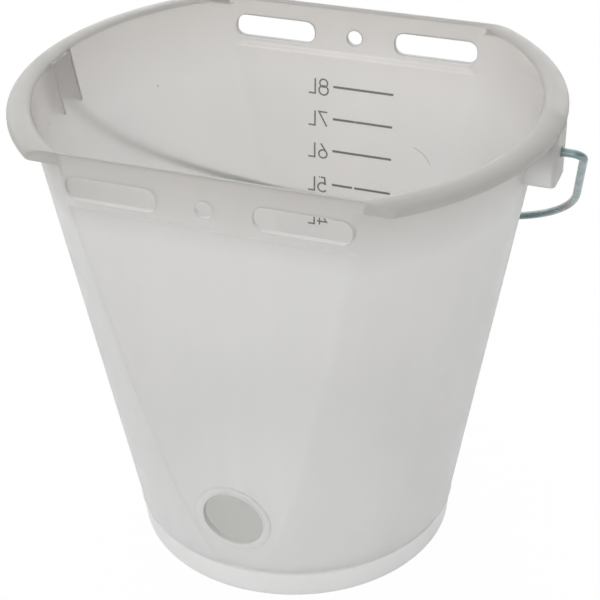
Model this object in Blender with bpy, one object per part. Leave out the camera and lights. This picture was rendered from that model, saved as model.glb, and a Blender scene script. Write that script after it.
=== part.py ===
"""Calf feeding bucket: a one-piece moulded bucket with two flat sides, and a wire bail on its ears.

Metres, +Z up. The bucket stands on z = 0 round the Z axis. Its flat sides face -Y (teat hole) and
+Y (scale), and its ears stand at -X and +X.
"""
import math

import bmesh
import bpy
from mathutils import Vector

# Shell
HEIGHT = 0.280
WALL = 0.0023
FOOT_LINE_RADIUS = 0.0939
TOP_RADIUS = 0.1388
PANEL_CORNER_ROUND = 0.012

# Foot ring and floor
FOOT_PROUD = 0.0011
FOOT_HEIGHT = 0.0165
FOOT_EDGE_ROUND = 0.0008
FOOT_LIP = 0.0011
FOOT_LIP_HEIGHT = 0.0022
FLOOR_THICKNESS = 0.0025
FLOOR_EDGE_ROUND = 0.004

# Flat panels and the bands above them, front and back alike
PANEL_HALF_DEPTH_AT_FOOT = 0.0963
PANEL_HALF_DEPTH_AT_BAND = 0.1102
BAND_PROUD = 0.004
BAND_HEIGHT = 0.032
BAND_STEP_HEIGHT = 0.0016
BAND_INNER_STEP_HEIGHT = 0.007

# Slots and holes in the bands
SLOT_LENGTH = 0.050
SLOT_HEIGHT = 0.013
SLOT_CORNER_ROUND = 0.0055
SLOT_SPACING = 0.101
SLOTS_BELOW_TOP = 0.0185
BAND_HOLE_DIAMETER = 0.009

# Rim round the two curved ends
RIM_OVERHANG = 0.0103
RIM_DEPTH = 0.0064
RIM_WALL = 0.0022
RIM_CROWN_WIDTH = 0.008
RIM_CROWN_HEIGHT = 0.0045
MOUTH_EDGE_ROUND = 0.0008

# Ears
EAR_WIDTH = 0.023
EAR_HEIGHT = 0.0335
EAR_WALL = 0.0023
EAR_PROUD = 0.0004
EAR_EDGE_ROUND = 0.003

# Teat hole in the front panel
TEAT_HOLE_DIAMETER = 0.0355
TEAT_HOLE_LEVEL = 0.0563
BOSS_WIDTH = 0.005
BOSS_PROUD = 0.0012

# Bail
WIRE_DIAMETER = 0.0045
PIVOT_BELOW_TOP = 0.0176
PIVOT_CLEARANCE = 0.0006
BAIL_SIDE_GAP = 0.0117
BAIL_REACH = 0.1588
BAIL_ARC_RADIUS = 0.220
BAIL_CORNER_RADIUS = 0.090
BAIL_ARM_LEAN = math.radians(8.4)
BAIL_ELBOW_RADIUS = 0.006
TAIL_BEND_RADIUS = 0.004
TAIL_CLEARANCE = 0.0012
WIRE_END_CHAMFER = 0.0007
REST_GAP = 0.0003

# Fineness of the round shapes
ARC_STEPS = 15
CORNER_STEPS = 3
PANEL_STEPS = 3
WALL_STEPS = 8
SMALL_ROUND_STEPS = 4
SMALL_HOLE_STEPS = 24
TEAT_HOLE_STEPS = 40
BAIL_BEND_STEPS = 7
BAIL_ARC_STEPS = 16
WIRE_SIDES = 14

# Sizes and places that follow from the ones above
PIVOT_LEVEL = HEIGHT - PIVOT_BELOW_TOP
SLOT_LEVEL = HEIGHT - SLOTS_BELOW_TOP
BAND_LEVEL = HEIGHT - BAND_HEIGHT
RIM_LEVEL = HEIGHT - RIM_DEPTH
FLOOR_LEVEL = FOOT_HEIGHT + FLOOR_THICKNESS
FOOT_LIP_LEVEL = FOOT_HEIGHT + FOOT_LIP_HEIGHT
FOOT_RADIUS = FOOT_LINE_RADIUS + FOOT_PROUD
BAND_HALF_DEPTH = PANEL_HALF_DEPTH_AT_BAND + BAND_PROUD
RIM_RADIUS = TOP_RADIUS + RIM_OVERHANG
EAR_FACE = RIM_RADIUS + EAR_PROUD
PIVOT_HOLE_DIAMETER = WIRE_DIAMETER + 2 * PIVOT_CLEARANCE
BAIL_HALF_SPREAD = EAR_FACE + BAIL_SIDE_GAP
TAIL_X = EAR_FACE - EAR_WALL - WIRE_DIAMETER
TAIL_LENGTH = EAR_WIDTH / 2 - EAR_WALL - TAIL_CLEARANCE
OVERCUT = 0.010
NO_PANELS = math.inf
LEAST_PANEL_SHARE = 0.05


def wall_radius(z):
    """Outer radius of the tapered wall at height z."""
    return FOOT_LINE_RADIUS + (TOP_RADIUS - FOOT_LINE_RADIUS) * z / HEIGHT


def panel_half_depth(z):
    """Half the distance across the two flat panels at height z, below the bands."""
    rise = (z - FOOT_HEIGHT) / (BAND_LEVEL - FOOT_HEIGHT)
    return PANEL_HALF_DEPTH_AT_FOOT + (PANEL_HALF_DEPTH_AT_BAND - PANEL_HALF_DEPTH_AT_FOOT) * rise


def outline_half_depth(z):
    """Half depth across the panels at height z, with the bands stepped out at the top."""
    if z <= BAND_LEVEL:
        return panel_half_depth(z)
    step = min(1.0, (z - BAND_LEVEL) / BAND_STEP_HEIGHT)
    return PANEL_HALF_DEPTH_AT_BAND + BAND_PROUD * step


def on_circle(radius, angle):
    """Point of a circle round the origin."""
    return radius * math.cos(angle), radius * math.sin(angle)


def corner_centre(radius, half_depth, corner):
    """Centre, in the first quadrant, of the rounding between the curved wall and a panel."""
    across = (radius - corner) ** 2 - (half_depth - corner) ** 2
    return math.sqrt(max(across, 0.0)), half_depth - corner


def quadrant(radius, half_depth, corner):
    """Points of one quarter of the outline, from the X axis round to just before the Y axis."""
    cx, cy = corner_centre(radius, half_depth, corner)
    if cx < LEAST_PANEL_SHARE * radius:
        turn = 2 * math.asin(LEAST_PANEL_SHARE)
        first = math.pi / 2 - turn
        steps = CORNER_STEPS + PANEL_STEPS
        rest = [on_circle(radius, first + turn * i / steps) for i in range(steps)]
    else:
        first = math.atan2(cy, cx)
        rest = []
        for i in range(CORNER_STEPS):
            x, y = on_circle(corner, first + (math.pi / 2 - first) * i / CORNER_STEPS)
            rest.append((cx + x, cy + y))
        for i in range(PANEL_STEPS):
            rest.append((cx * (1 - i / PANEL_STEPS), half_depth))
    return [on_circle(radius, first * i / ARC_STEPS) for i in range(ARC_STEPS)] + rest


def outline(radius, half_depth, corner):
    """The whole closed outline, anticlockwise from the +X axis."""
    first = quadrant(radius, half_depth, corner)
    on_y_axis = (0.0, min(radius, half_depth))
    second = [(-x, y) for x, y in reversed(first)]
    upper = first + [on_y_axis] + second
    lower = [(x, -y) for x, y in reversed(upper[1:-1])]
    return upper + lower


def skin(name, rings):
    """Closed solid through rings of points, each joined to the next one and the two ends filled."""
    bm = bmesh.new()
    rows = [[bm.verts.new(point) for point in ring] for ring in rings]
    count = len(rows[0])
    for low, high in zip(rows, rows[1:]):
        for i in range(count):
            j = (i + 1) % count
            bm.faces.new((low[i], low[j], high[j], high[i]))
    bm.faces.new(rows[0])
    bm.faces.new(rows[-1])
    bmesh.ops.recalc_face_normals(bm, faces=bm.faces)
    mesh = bpy.data.meshes.new(name)
    bm.to_mesh(mesh)
    bm.free()
    obj = bpy.data.objects.new(name, mesh)
    bpy.context.scene.collection.objects.link(obj)
    return obj


def loft(name, levels):
    """Solid through outlines stacked from low to high. Each level is (z, radius, half depth, corner)."""
    rings = []
    for z, radius, half_depth, corner in levels:
        rings.append([(x, y, z) for x, y in outline(radius, half_depth, corner)])
    return skin(name, rings)


def prism(name, points, start, end, axis):
    """Solid with a flat outline, pushed along an axis from start to end."""
    rings = []
    for along in (start, end):
        if axis == "X":
            rings.append([(along, y, z) for y, z in points])
        elif axis == "Y":
            rings.append([(x, along, z) for x, z in points])
        else:
            rings.append([(x, y, along) for x, y in points])
    return skin(name, rings)


def rounded_rectangle(across, up, width, height, corner):
    """Corner-rounded rectangle centred on (across, up)."""
    points = []
    for quarter, (sx, sy) in enumerate(((1, 1), (-1, 1), (-1, -1), (1, -1))):
        cx = across + sx * (width / 2 - corner)
        cy = up + sy * (height / 2 - corner)
        for i in range(SMALL_ROUND_STEPS + 1):
            x, y = on_circle(corner, math.pi / 2 * (quarter + i / SMALL_ROUND_STEPS))
            points.append((cx + x, cy + y))
    return points


def circle(across, up, diameter, steps):
    """Round outline centred on (across, up), with no point straight above or below the centre."""
    points = []
    for i in range(steps):
        x, y = on_circle(diameter / 2, 2 * math.pi * (i + 0.5) / steps)
        points.append((across + x, up + y))
    return points


def combine(target, helper, operation):
    """Adds the helper shape to the target or takes it away, and puts the helper out of sight."""
    modifier = target.modifiers.new(operation.title(), "BOOLEAN")
    modifier.operation = operation
    modifier.solver = "EXACT"
    modifier.object = helper
    helper.hide_render = True
    helper.display_type = "WIRE"


def settle(obj):
    """Replaces the object's mesh by its finished shape, and removes the helpers that shaped it."""
    helpers = set()
    waiting = [obj]
    while waiting:
        for modifier in waiting.pop().modifiers:
            helpers.add(modifier.object)
            waiting.append(modifier.object)
    bpy.context.view_layer.update()
    graph = bpy.context.evaluated_depsgraph_get()
    finished = bpy.data.meshes.new_from_object(obj.evaluated_get(graph))
    obj.modifiers.clear()
    obj.data = finished
    for helper in helpers:
        bpy.data.objects.remove(helper, do_unlink=True)


def shade(obj, angle):
    """Smooth shading, kept crisp at edges sharper than the angle."""
    for polygon in obj.data.polygons:
        polygon.use_smooth = True
    obj.data.set_sharp_from_angle(angle=angle)


def material(name, colour, roughness, metallic):
    """Plain surface."""
    made = bpy.data.materials.new(name)
    made.use_nodes = True
    surface = made.node_tree.nodes["Principled BSDF"]
    surface.inputs["Base Color"].default_value = (*colour, 1.0)
    surface.inputs["Roughness"].default_value = roughness
    surface.inputs["Metallic"].default_value = metallic
    return made


def wall_levels():
    """Heights of the wall's outlines between the foot and the band, closer together near the foot."""
    crowding = 1.6
    tall = BAND_LEVEL - FOOT_LIP_LEVEL
    return [FOOT_LIP_LEVEL + tall * (i / WALL_STEPS) ** crowding for i in range(1, WALL_STEPS + 1)]


def outer_core():
    """The bucket's outside, as a filled solid: foot ring, lip, tapered wall, panels and bands."""
    slope = FOOT_LIP_HEIGHT / 5
    foot_top = wall_radius(FOOT_HEIGHT)
    corner = PANEL_CORNER_ROUND
    levels = [
        (0.0, FOOT_RADIUS - FOOT_EDGE_ROUND, NO_PANELS, corner),
        (FOOT_EDGE_ROUND, FOOT_RADIUS, NO_PANELS, corner),
        (FOOT_HEIGHT, foot_top, NO_PANELS, corner),
        (FOOT_HEIGHT + slope, foot_top + FOOT_LIP, NO_PANELS, corner),
        (FOOT_LIP_LEVEL - slope, foot_top + FOOT_LIP, NO_PANELS, corner),
    ]
    above_step = BAND_LEVEL + BAND_STEP_HEIGHT
    for z in [FOOT_LIP_LEVEL] + wall_levels() + [above_step, (above_step + HEIGHT) / 2, HEIGHT]:
        levels.append((z, wall_radius(z), outline_half_depth(z), corner))
    return loft("bucket_body", levels)


def interior():
    """The space that holds the milk, open at the top."""
    corner = PANEL_CORNER_ROUND - WALL
    levels = []
    for i in range(SMALL_ROUND_STEPS):
        angle = math.pi / 2 * i / (SMALL_ROUND_STEPS - 1)
        z = FLOOR_LEVEL + FLOOR_EDGE_ROUND * (1 - math.cos(angle))
        inset = WALL + FLOOR_EDGE_ROUND * (1 - math.sin(angle))
        levels.append((z, wall_radius(z) - inset, panel_half_depth(z) - inset, corner))
    for z in wall_levels()[1:]:
        levels.append((z, wall_radius(z) - WALL, panel_half_depth(z) - WALL, corner))
    below_mouth = HEIGHT - MOUTH_EDGE_ROUND
    for z in (BAND_LEVEL + BAND_INNER_STEP_HEIGHT, below_mouth):
        levels.append((z, wall_radius(z) - WALL, BAND_HALF_DEPTH - WALL, corner))
    flare = 2 * MOUTH_EDGE_ROUND
    mouth = wall_radius(below_mouth) - WALL + flare
    levels.append((below_mouth + flare, mouth, BAND_HALF_DEPTH - WALL / 2, corner))
    return loft("interior", levels)


def foot_hollow():
    """The space inside the foot ring, open underneath."""
    levels = [(z, FOOT_RADIUS - WALL, NO_PANELS, PANEL_CORNER_ROUND) for z in (-OVERCUT, FOOT_HEIGHT)]
    return loft("foot_hollow", levels)


def rim():
    """Turned-down rim, cut off flush with the bands, hollow underneath and closed at its four ends."""
    corner = PANEL_CORNER_ROUND / 2
    lower_round = RIM_WALL / 3
    levels = [
        (RIM_LEVEL, RIM_RADIUS - lower_round, BAND_HALF_DEPTH, corner),
        (RIM_LEVEL + lower_round, RIM_RADIUS, BAND_HALF_DEPTH, corner),
    ]
    for i in range(SMALL_ROUND_STEPS + 2):
        angle = math.pi / 2 * i / (SMALL_ROUND_STEPS + 1)
        z = HEIGHT - RIM_CROWN_HEIGHT * (1 - math.sin(angle))
        radius = RIM_RADIUS - RIM_CROWN_WIDTH * (1 - math.cos(angle))
        levels.append((z, radius, BAND_HALF_DEPTH, corner))
    shape = loft("rim", levels)
    channel = []
    for z in (RIM_LEVEL - OVERCUT, HEIGHT - RIM_CROWN_HEIGHT):
        channel.append((z, RIM_RADIUS - RIM_WALL, BAND_HALF_DEPTH - WALL, corner))
    channel.append((HEIGHT - RIM_WALL, RIM_RADIUS - RIM_CROWN_WIDTH, BAND_HALF_DEPTH - WALL, corner))
    combine(shape, loft("rim_channel", channel), "DIFFERENCE")
    return shape


def ear_outline(root):
    """The +X ear seen from above, from its root in the wall out to its rounded face."""
    half = EAR_WIDTH / 2
    points = [(root, -half)]
    for start, side in ((-math.pi / 2, -1), (0.0, 1)):
        for i in range(SMALL_ROUND_STEPS + 1):
            x, y = on_circle(EAR_EDGE_ROUND, start + math.pi / 2 * i / SMALL_ROUND_STEPS)
            points.append((EAR_FACE - EAR_EDGE_ROUND + x, side * (half - EAR_EDGE_ROUND) + y))
    return points + [(root, half)]


def ear_shoulder(root):
    """The +X ear seen from the front: its outer top follows just below the rim's crown."""
    low = HEIGHT - EAR_HEIGHT - OVERCUT
    crown_foot = HEIGHT - RIM_CROWN_HEIGHT - EAR_PROUD
    under_crown = HEIGHT - RIM_WALL / 3
    return [
        (root - WALL, low),
        (EAR_FACE + OVERCUT, low),
        (EAR_FACE + OVERCUT, crown_foot),
        (RIM_RADIUS, crown_foot),
        (RIM_RADIUS - RIM_CROWN_WIDTH, under_crown),
        (root - WALL, under_crown),
    ]


def ear(side):
    """Box-shaped ear under the rim, open underneath, with the bail's pivot hole in its outer wall."""
    bottom = HEIGHT - EAR_HEIGHT
    root = wall_radius(bottom) - WALL / 2
    points = [(side * x, y) for x, y in ear_outline(root)]
    shape = prism("ear", points, bottom, HEIGHT - RIM_WALL / 2, "Z")
    shoulder = [(side * x, z) for x, z in ear_shoulder(root)]
    combine(shape, prism("ear_shoulder", shoulder, -EAR_WIDTH, EAR_WIDTH, "Y"), "INTERSECT")
    pocket = [
        (side * (root - WALL), EAR_WALL - EAR_WIDTH / 2),
        (side * (EAR_FACE - EAR_WALL), EAR_WALL - EAR_WIDTH / 2),
        (side * (EAR_FACE - EAR_WALL), EAR_WIDTH / 2 - EAR_WALL),
        (side * (root - WALL), EAR_WIDTH / 2 - EAR_WALL),
    ]
    hollow = prism("ear_pocket", pocket, bottom - OVERCUT, HEIGHT - RIM_CROWN_HEIGHT, "Z")
    combine(shape, hollow, "DIFFERENCE")
    hole = circle(0.0, PIVOT_LEVEL, PIVOT_HOLE_DIAMETER, SMALL_HOLE_STEPS)
    start = side * (EAR_FACE - 2 * EAR_WALL)
    combine(shape, prism("pivot_hole", hole, start, side * (EAR_FACE + OVERCUT), "X"), "DIFFERENCE")
    return shape


def teat_boss():
    """Raised ring round the teat hole, following the lean of the front panel."""
    diameter = TEAT_HOLE_DIAMETER + 2 * BOSS_WIDTH
    edge = BOSS_PROUD / 2
    sections = ((-WALL / 2, diameter), (BOSS_PROUD - edge, diameter), (BOSS_PROUD, diameter - 2 * edge))
    rings = []
    for proud, size in sections:
        points = circle(0.0, TEAT_HOLE_LEVEL, size, TEAT_HOLE_STEPS)
        rings.append([(x, -panel_half_depth(z) - proud, z) for x, z in points])
    return skin("teat_boss", rings)


def cuts():
    """The slots and holes through the bands, and the teat hole."""
    helpers = []
    for side in (-1, 1):
        start = side * (BAND_HALF_DEPTH - 3 * WALL)
        end = side * (BAND_HALF_DEPTH + OVERCUT)
        for across in (-SLOT_SPACING / 2, SLOT_SPACING / 2):
            points = rounded_rectangle(across, SLOT_LEVEL, SLOT_LENGTH, SLOT_HEIGHT, SLOT_CORNER_ROUND)
            helpers.append(prism("slot", points, start, end, "Y"))
        points = circle(0.0, SLOT_LEVEL, BAND_HOLE_DIAMETER, SMALL_HOLE_STEPS)
        helpers.append(prism("band_hole", points, start, end, "Y"))
    panel = panel_half_depth(TEAT_HOLE_LEVEL)
    points = circle(0.0, TEAT_HOLE_LEVEL, TEAT_HOLE_DIAMETER, TEAT_HOLE_STEPS)
    helpers.append(prism("teat_hole", points, 3 * WALL - panel, -panel - OVERCUT, "Y"))
    return helpers


def bucket_body():
    """The moulded bucket in one piece."""
    body = outer_core()
    for addition in (rim(), ear(-1), ear(1), teat_boss()):
        combine(body, addition, "UNION")
    for cut in [interior(), foot_hollow()] + cuts():
        combine(body, cut, "DIFFERENCE")
    settle(body)
    shade(body, math.radians(28))
    body.data.materials.append(material("natural_polypropylene", (0.62, 0.62, 0.60), 0.38, 0.0))


def bend(before, corner, after, radius):
    """Points of the round bend that replaces a corner between two straight runs."""
    back = (before - corner).normalized()
    forth = (after - corner).normalized()
    half = back.angle(forth) / 2
    centre = corner + (back + forth).normalized() * radius / math.sin(half)
    start = corner + back * radius / math.tan(half) - centre
    end = corner + forth * radius / math.tan(half) - centre
    points = []
    for i in range(BAIL_BEND_STEPS + 1):
        points.append(centre + radius * start.slerp(end, i / BAIL_BEND_STEPS))
    return points


def arm_length():
    """How far the straight arm runs before the corner that leads into the long arc."""
    gap = BAIL_ARC_RADIUS - BAIL_CORNER_RADIUS
    arc_centre = BAIL_REACH - BAIL_ARC_RADIUS
    sin, cos = math.sin(BAIL_ARM_LEAN), math.cos(BAIL_ARM_LEAN)
    x = BAIL_HALF_SPREAD - BAIL_CORNER_RADIUS * cos
    y = -BAIL_CORNER_RADIUS * sin - arc_centre
    b = -x * sin + y * cos
    return -b + math.sqrt(b * b - (x * x + y * y - gap * gap))


def bail_path():
    """Centre line of the wire in its own plane: x along the pivot axis, y away from it."""
    sin, cos = math.sin(BAIL_ARM_LEAN), math.cos(BAIL_ARM_LEAN)
    length = arm_length()
    arm_end = Vector((BAIL_HALF_SPREAD - length * sin, length * cos))
    corner = arm_end - BAIL_CORNER_RADIUS * Vector((cos, sin))
    arc_centre = Vector((0.0, BAIL_REACH - BAIL_ARC_RADIUS))
    meeting = math.atan2(corner.y - arc_centre.y, corner.x)
    tail_end = Vector((TAIL_X, -TAIL_LENGTH))
    tail_top = Vector((TAIL_X, 0.0))
    elbow = Vector((BAIL_HALF_SPREAD, 0.0))
    points = [tail_end]
    points += bend(tail_end, tail_top, elbow, TAIL_BEND_RADIUS)
    points += bend(tail_top, elbow, arm_end, BAIL_ELBOW_RADIUS)
    for i in range(BAIL_BEND_STEPS + 1):
        angle = BAIL_ARM_LEAN + (meeting - BAIL_ARM_LEAN) * i / BAIL_BEND_STEPS
        points.append(corner + Vector(on_circle(BAIL_CORNER_RADIUS, angle)))
    for i in range(1, BAIL_ARC_STEPS + 1):
        angle = meeting + (math.pi / 2 - meeting) * i / BAIL_ARC_STEPS
        points.append(arc_centre + Vector(on_circle(BAIL_ARC_RADIUS, angle)))
    return points + [Vector((-p.x, p.y)) for p in reversed(points[:-1])]


def gap_to_wall(x, y, z):
    """How far a point lies outside the bucket's rounded outline at its own height."""
    radius, half_depth = wall_radius(z), outline_half_depth(z)
    cx, cy = corner_centre(radius, half_depth, PANEL_CORNER_ROUND)
    x, y = abs(x), abs(y)
    if y * cx <= x * cy:
        return math.hypot(x, y) - radius
    if x <= cx:
        return y - half_depth
    return math.hypot(x - cx, y - cy) - PANEL_CORNER_ROUND


def rest_angle():
    """Angle below level at which the hanging bail meets the back of the bucket."""
    hanging = [p for p in bail_path() if p.y > BAIL_REACH / 2]
    needed = WIRE_DIAMETER / 2 + REST_GAP
    clear, touching = 0.0, math.pi / 2
    halvings = 40
    for _ in range(halvings):
        angle = (clear + touching) / 2
        cos, sin = math.cos(angle), math.sin(angle)
        if min(gap_to_wall(p.x, p.y * cos, PIVOT_LEVEL - p.y * sin) for p in hanging) > needed:
            clear = angle
        else:
            touching = angle
    return clear


def wire_ring(centre, along, radius):
    """Round cross-section of the wire, square to its run."""
    ring = []
    for side in range(WIRE_SIDES):
        across, up = on_circle(radius, 2 * math.pi * side / WIRE_SIDES)
        ring.append((centre.x - along.y * across, centre.y + along.x * across, up))
    return ring


def wire_bail():
    """The wire, swept along its path, with chamfered ends, hanging at the back of the bucket."""
    path = bail_path()
    last = len(path) - 1
    radius = WIRE_DIAMETER / 2
    rings = []
    for i, point in enumerate(path):
        along = (path[min(i + 1, last)] - path[max(i - 1, 0)]).normalized()
        if i == 0:
            rings.append(wire_ring(point - along * WIRE_END_CHAMFER, along, radius - WIRE_END_CHAMFER))
        rings.append(wire_ring(point, along, radius))
        if i == last:
            rings.append(wire_ring(point + along * WIRE_END_CHAMFER, along, radius - WIRE_END_CHAMFER))
    bail = skin("wire_bail", rings)
    bail.location = (0.0, 0.0, PIVOT_LEVEL)
    bail.rotation_euler = (-rest_angle(), 0.0, 0.0)
    shade(bail, math.radians(40))
    bail.data.materials.append(material("zinc_plated_wire", (0.50, 0.53, 0.54), 0.28, 1.0))


for old in list(bpy.data.objects):
    bpy.data.objects.remove(old, do_unlink=True)
bucket_body()
wire_bail()
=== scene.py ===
"""Looks of the calf feeding bucket: frosted polypropylene, a printed litre scale and a zinc-plated wire.

Metres, +Z up. The bucket stands on z = 0 round the Z axis. Its flat sides face -Y (teat hole) and
+Y (scale), and its ears stand at -X and +X.
"""
import math

import bmesh
import bpy
from mathutils import Matrix, Vector

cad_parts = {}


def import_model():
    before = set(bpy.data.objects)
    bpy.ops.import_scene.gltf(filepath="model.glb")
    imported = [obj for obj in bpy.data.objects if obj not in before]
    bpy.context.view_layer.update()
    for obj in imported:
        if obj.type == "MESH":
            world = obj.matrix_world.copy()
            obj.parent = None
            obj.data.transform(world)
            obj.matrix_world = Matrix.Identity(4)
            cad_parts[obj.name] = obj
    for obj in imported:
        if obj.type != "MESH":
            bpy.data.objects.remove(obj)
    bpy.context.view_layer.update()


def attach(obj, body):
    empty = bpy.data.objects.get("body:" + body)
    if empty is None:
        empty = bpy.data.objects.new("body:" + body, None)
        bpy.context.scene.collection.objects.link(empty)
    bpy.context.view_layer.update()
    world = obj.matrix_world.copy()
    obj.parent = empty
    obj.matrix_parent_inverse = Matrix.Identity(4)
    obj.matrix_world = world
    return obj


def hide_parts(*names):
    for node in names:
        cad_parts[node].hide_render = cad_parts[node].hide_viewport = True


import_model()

# Shell
HEIGHT = 0.280
WALL = 0.0023
FOOT_LINE_RADIUS = 0.0939
TOP_RADIUS = 0.1388
PANEL_CORNER_ROUND = 0.012
INNER_CORNER_ROUND = 0.004

# Foot ring and floor
FOOT_PROUD = 0.0011
FOOT_HEIGHT = 0.0165
FOOT_EDGE_ROUND = 0.0008
FOOT_LIP = 0.0007
FOOT_LIP_HEIGHT = 0.0022
FLOOR_THICKNESS = 0.0025
FLOOR_EDGE_ROUND = 0.004
GATE_MARK_DIAMETER = 0.007
GATE_MARK_HEIGHT = 0.0009
GATE_MARK_EDGE = 0.0008

# Flat panels and the bands above them, front and back alike
PANEL_HALF_DEPTH_AT_FOOT = 0.0963
PANEL_HALF_DEPTH_AT_BAND = 0.1102
BAND_PROUD = 0.004
BAND_HEIGHT = 0.032
BAND_STEP_HEIGHT = 0.0036
BAND_BLEND_START = 0.242
BAND_BLEND_END = 0.268

# Slots and holes in the bands
SLOT_LENGTH = 0.050
SLOT_HEIGHT = 0.013
SLOT_CORNER_ROUND = 0.0055
SLOT_SPACING = 0.101
SLOTS_BELOW_TOP = 0.0185
BAND_HOLE_DIAMETER = 0.009
CUT_EDGE_ROUND = 0.0005

# Rim round the two curved ends
RIM_OVERHANG = 0.0103
RIM_DEPTH = 0.0064
RIM_WALL = 0.0022
RIM_CROWN_WIDTH = 0.008
RIM_CROWN_HEIGHT = 0.0045
MOUTH_EDGE_ROUND = 0.0012
MOUTH_EDGE_HEIGHT = 0.0020
RIM_INNER_ROUND = 0.0036

# Ears
EAR_WIDTH = 0.023
EAR_HEIGHT = 0.0335
EAR_WALL = 0.0023
EAR_PROUD = 0.0004
EAR_EDGE_ROUND = 0.003
EAR_LOWER_ROUND = 0.0006

# Teat hole in the front panel
TEAT_HOLE_DIAMETER = 0.0355
TEAT_HOLE_LEVEL = 0.0563
BOSS_WIDTH = 0.005
BOSS_PROUD = 0.0012
BOSS_EDGE_WIDTH = 0.0040

# Bail
WIRE_DIAMETER = 0.0045
PIVOT_BELOW_TOP = 0.0176
PIVOT_CLEARANCE = 0.0006
BAIL_SIDE_GAP = 0.0117
BAIL_REACH = 0.1588
BAIL_ARC_RADIUS = 0.220
BAIL_CORNER_RADIUS = 0.090
BAIL_ARM_LEAN = math.radians(8.4)
BAIL_ELBOW_RADIUS = 0.006
TAIL_BEND_RADIUS = 0.004
TAIL_CLEARANCE = 0.0012
WIRE_END_CHAMFER = 0.0007
WIRE_SKIN_INSET = 0.00005
BAIL_REST_ANGLE = math.radians(45.199)

# Litre scale printed on the outside of the back panel. Across runs along X, as seen from inside
LITRE_LEVELS = {
    8: 0.2298,
    7: 0.2088,
    6: 0.1875,
    5: 0.1645,
    4: 0.1408,
    3: 0.1128,
    2: 0.0838,
    1: 0.0527,
}
MARK_START = -0.0124
MARK_END = 0.0260
MARK_WIDTH = 0.0015
MARK_GAPS = {7: (0.0020, 0.0024), 5: (0.0011, 0.0025)}
FIGURE_STROKE = 0.00105
FIGURE_CENTRE = -0.01865
FIGURES_BELOW_MARK = 0.0055
LETTER_STEM = -0.0241
LETTER_FOOT = -0.0284
LETTER_HEIGHT = 0.0096
PRINT_SOAKS_IN = 0.00003
PRINT_THICKNESS = 0.00006

# Marks of use: a curved scratch on the back panel, in X and height, and a speck on the curved wall
SCRATCH_CENTRE = (0.0357, 0.1822)
SCRATCH_RADIUS = 0.0169
SCRATCH_WIDTH = 0.0004
SCRATCH_LEFT_END = 0.0394
SCRATCH_LOW_END = 0.1887
SCRATCH_FADE = 0.002
SCRATCH_STRENGTH = 0.7
SPECK = (-0.1107, 0.0667, 0.2345)
SPECK_RADIUS = 0.0005
SPECK_STRENGTH = 0.8

# Colours of the plastic. Pairs are mixed in cloudy patches
OUTER_COLOURS = ((0.85, 0.86, 0.865), (0.885, 0.885, 0.88))
# The inner colours are the plastic's warm white painted lighter than the outer ones: painted light inside
# the bucket
INNER_LIT_COLOURS = ((0.985, 0.955, 0.93), (1.0, 0.965, 0.935))
STREAK_COLOUR = (0.83, 0.835, 0.83)
# Painted shade: the outside greys towards the top, darkening rim, band and ears
TOP_SHADE_COLOUR = (0.60, 0.585, 0.56)
# Painted light: the foot ring is lighter, as if lit by the white floor
FOOT_LIT_COLOUR = (0.92, 0.92, 0.915)
# Painted shade on the cut faces of the slots and holes
CUT_SHADE_COLOUR = (0.62, 0.62, 0.61)
# Painted shade: the inside darkens and turns greener towards the floor
DEEP_SHADE_COLOUR = (0.80, 0.825, 0.78)
FLECK_COLOUR = (0.05, 0.045, 0.04)
WEAR_COLOUR = (0.12, 0.11, 0.10)
STREAK_SHARE = 0.5
DEEP_SHADE_SHARE = 0.8
TOP_SHADE_FROM = 0.235
DEEP_SHADE_BELOW = 0.035

# How clear, rough and absorbing the plastic is
PLASTIC_IOR = 1.49
CLEARNESS_OUTSIDE = (0.46, 0.56)
CLEARNESS_RISES_UP_TO = 0.15
CLEARNESS_INSIDE = 0.78
CLEARNESS_LOST_AT_CUTS = 0.34
ROUGHNESS_OUTSIDE = 0.35
ROUGHNESS_INSIDE = 0.12
ROUGHNESS_UNEVEN = 0.08
PLASTIC_DEPTH_COLOUR = (0.87, 0.85, 0.83)
PLASTIC_DENSITY = 8.0

# Colours of the wire and the ink. Pairs are mixed in patches
ZINC_COLOURS = ((0.20, 0.265, 0.27), (0.30, 0.365, 0.37))
ZINC_DULL_COLOUR = (0.21, 0.175, 0.15)
INK_COLOURS = ((0.008, 0.007, 0.007), (0.04, 0.037, 0.037))

# Floor and light. The floor shows white by these shares of each kind of ray
FLOOR_HALF_WIDTH = 12.0
FLOOR_Z = -0.0001
FLOOR_COLOUR = 0.9
FLOOR_WHITENESS = {"Is Camera Ray": 0.97, "Is Glossy Ray": 0.97, "Is Transmission Ray": 0.5}
HORIZON_LIGHT = 1.08
ZENITH_LIGHT = 1.05
BACK_LIGHT = 1.75
RIGHT_LIGHT = 0.44

# Fineness of the round shapes
ARC_STEPS = 36
CORNER_STEPS = 8
PANEL_STEPS = 6
WALL_STEPS = 14
WALL_STEPS_CROWDING = 1.6
LOWEST_INNER_STEP = 0.040
BLEND_STEPS = 8
LIP_STEPS = 10
SMALL_ROUND_STEPS = 6
SMALL_HOLE_STEPS = 40
TEAT_HOLE_STEPS = 80
BAIL_BEND_STEPS = 14
BAIL_ARC_STEPS = 40
WIRE_SIDES = 28
FIGURE_ARC_STEPS = 28

# Angles above which an edge is shaded sharp, and limits below which a shape is made simpler
BUCKET_SHARP_ANGLE = math.radians(30)
WIRE_SHARP_ANGLE = math.radians(40)
LEAST_PANEL_SHARE = 0.05
LEAST_MITRE = 0.5
SAME_POINT = 0.000001

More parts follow.
